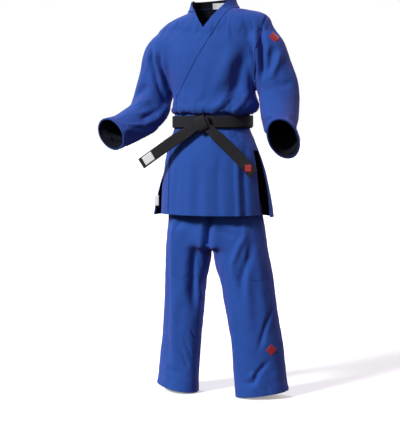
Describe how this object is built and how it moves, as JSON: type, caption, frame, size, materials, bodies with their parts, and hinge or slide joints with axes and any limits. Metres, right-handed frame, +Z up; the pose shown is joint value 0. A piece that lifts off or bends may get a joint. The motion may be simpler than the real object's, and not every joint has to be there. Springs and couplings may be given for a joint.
{
  "type": "martial arts uniform",
  "caption": "Martial arts uniform in its worn shape: crossed-front jacket with wide sleeves and side vents, knotted belt with hanging ends, and loose trousers.",
  "frame": {"origin": "middle of the trousers' waist, where the wearer carries them, at the height of the belt's middle", "axes": "+Z up along the wearer, -Y to the wearer's front, +X to the wearer's left"},
  "size_m": [0.765, 0.3335, 1.4533],
  "materials": {
    "jacket_cloth": "coarse woven cotton, rice-grain texture, matt",
    "trouser_cloth": "cotton drill, matt",
    "belt_webbing": "black cotton belt with rows of stitching",
    "woven_label": "plain white woven label",
    "red_badge": "plain red embroidered diamond"
  },
  "bodies": {
    "trousers": {"waistband": "trouser_cloth", "trouser_seat_left": "trouser_cloth", "trouser_seat_right": "trouser_cloth", "leg_crease_left": "trouser_cloth", "leg_crease_right": "trouser_cloth"},
    "leg_left": {"leg_upper_left": "trouser_cloth", "leg_knee_left": "trouser_cloth"},
    "leg_right": {"leg_upper_right": "trouser_cloth", "leg_knee_right": "trouser_cloth"},
    "shin_left": {"leg_lower_left": "trouser_cloth", "leg_hem_fold_left": "trouser_cloth", "leg_badge": "red_badge"},
    "shin_right": {"leg_lower_right": "trouser_cloth", "leg_hem_fold_right": "trouser_cloth"},
    "jacket": {"jacket_back": "jacket_cloth", "jacket_front_right": "jacket_cloth", "lapel_right": "jacket_cloth", "jacket_front_left": "jacket_cloth", "lapel_left": "jacket_cloth", "collar_band": "jacket_cloth", "shoulder_lining": "jacket_cloth", "shoulder_badge": "red_badge", "neck_label": "woven_label", "sleeve_head_left": "jacket_cloth", "sleeve_head_right": "jacket_cloth", "skirt_waist_front": "jacket_cloth", "skirt_waist_back": "jacket_cloth", "belt_turn_inner": "belt_webbing", "belt_turn_outer": "belt_webbing", "belt_knot": "belt_webbing"},
    "sleeve_left": {"sleeve_upper_left": "jacket_cloth", "sleeve_elbow_left": "jacket_cloth"},
    "sleeve_right": {"sleeve_upper_right": "jacket_cloth", "sleeve_elbow_right": "jacket_cloth"},
    "forearm_left": {"sleeve_lower_left": "jacket_cloth", "cuff_fold_left": "jacket_cloth"},
    "forearm_right": {"sleeve_lower_right": "jacket_cloth", "cuff_fold_right": "jacket_cloth"},
    "skirt_front": {"skirt_front_left": "jacket_cloth", "lapel_left_lower": "jacket_cloth", "skirt_front_right": "jacket_cloth", "skirt_front_hem_fold": "jacket_cloth"},
    "skirt_back": {"skirt_back": "jacket_cloth", "skirt_back_hem_fold": "jacket_cloth", "side_label": "woven_label"},
    "belt_end_left": {"belt_tail_left": "belt_webbing", "belt_badge": "red_badge"},
    "belt_end_right": {"belt_tail_right": "belt_webbing", "belt_label": "woven_label"}
  },
  "joints": [
    {"name": "jacket_lift", "type": "slide", "parent": "trousers", "child": "jacket", "axis": [0, 0, 1], "range_m": [0, 0.35]},
    {"name": "hip_swing_left", "type": "hinge", "parent": "trousers", "child": "leg_left", "pos_m": [0.1, 0.008, -0.42], "axis": [-1, 0, 0], "range_deg": [-20, 45], "deforming": ["leg_crease_left"]},
    {"name": "hip_swing_right", "type": "hinge", "parent": "trousers", "child": "leg_right", "pos_m": [-0.1, 0.008, -0.42], "axis": [-1, 0, 0], "range_deg": [-20, 45], "deforming": ["leg_crease_right"]},
    {"name": "knee_fold_left", "type": "hinge", "parent": "leg_left", "child": "shin_left", "pos_m": [0.15, 0.01, -0.65], "axis": [1, 0, 0], "range_deg": [0, 60], "deforming": ["leg_knee_left"]},
    {"name": "knee_fold_right", "type": "hinge", "parent": "leg_right", "child": "shin_right", "pos_m": [-0.115, 0.01, -0.65], "axis": [1, 0, 0], "range_deg": [0, 60], "deforming": ["leg_knee_right"]},
    {"name": "shoulder_raise_left", "type": "hinge", "parent": "jacket", "child": "sleeve_left", "pos_m": [0.17, 0.01, 0.29], "axis": [0, -1, 0], "range_deg": [0, 50], "deforming": ["sleeve_head_left"]},
    {"name": "shoulder_raise_right", "type": "hinge", "parent": "jacket", "child": "sleeve_right", "pos_m": [-0.17, 0.01, 0.275], "axis": [0, 1, 0], "range_deg": [0, 50], "deforming": ["sleeve_head_right"]},
    {"name": "elbow_fold_left", "type": "hinge", "parent": "sleeve_left", "child": "forearm_left", "pos_m": [0.262, -0.008, 0.08], "axis": [-0.9266, 0.063, -0.3708], "range_deg": [-30, 40], "deforming": ["sleeve_elbow_left"]},
    {"name": "elbow_fold_right", "type": "hinge", "parent": "sleeve_right", "child": "forearm_right", "pos_m": [-0.25, -0.008, 0.06], "axis": [-0.8738, 0.4159, 0.2519], "range_deg": [-40, 40], "deforming": ["sleeve_elbow_right"]},
    {"name": "skirt_front_lift", "type": "hinge", "parent": "jacket", "child": "skirt_front", "pos_m": [0, -0.12, -0.005], "axis": [-1, 0, 0], "range_deg": [0, 30], "deforming": ["skirt_waist_front"]},
    {"name": "skirt_back_lift", "type": "hinge", "parent": "jacket", "child": "skirt_back", "pos_m": [0, 0.1, -0.03], "axis": [1, 0, 0], "range_deg": [0, 30], "deforming": ["skirt_waist_back"]},
    {"name": "belt_end_lift_left", "type": "hinge", "parent": "skirt_front", "child": "belt_end_left", "pos_m": [0.01, -0.126, -0.006], "axis": [-1, 0, 0], "range_deg": [0, 60]},
    {"name": "belt_end_lift_right", "type": "hinge", "parent": "skirt_front", "child": "belt_end_right", "pos_m": [-0.01, -0.127, -0.008], "axis": [-1, 0, 0], "range_deg": [0, 60]}
  ]
}
